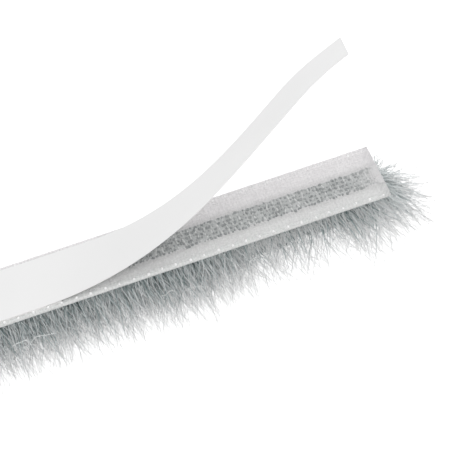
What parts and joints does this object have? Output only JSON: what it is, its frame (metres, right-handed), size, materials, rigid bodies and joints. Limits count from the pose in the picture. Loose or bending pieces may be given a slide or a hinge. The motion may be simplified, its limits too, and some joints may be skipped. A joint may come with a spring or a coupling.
{
  "type": "brush seal strip",
  "caption": "Length of self-adhesive brush seal: woven ribbon with a dense fibre pile on one side, and on the other a clear adhesive whose release liner is peeled back from one end.",
  "frame": {"origin": "middle of the strip's length, under the ribbon's middle, on the surface that the pile's tips rest on", "axes": "+X along the strip toward the end where the liner is peeled back, +Y across the ribbon toward the side that the liner leans to, +Z the way the adhesive faces"},
  "size_m": [1.012, 0.0178, 0.0388],
  "materials": {
    "ribbon": "woven polypropylene, satin",
    "pile_fibre": "fine grey polypropylene fibres, soft sheen",
    "pile_yarn": "grey yarn loops",
    "adhesive": "clear soft glossy adhesive",
    "liner": "smooth white release paper"
  },
  "bodies": {
    "root": {"backing_ribbon": "ribbon", "pile": "pile_fibre", "pile_yarn_backs": "pile_yarn", "adhesive_layer": "adhesive", "release_liner": "liner"}
  },
  "joints": []
}
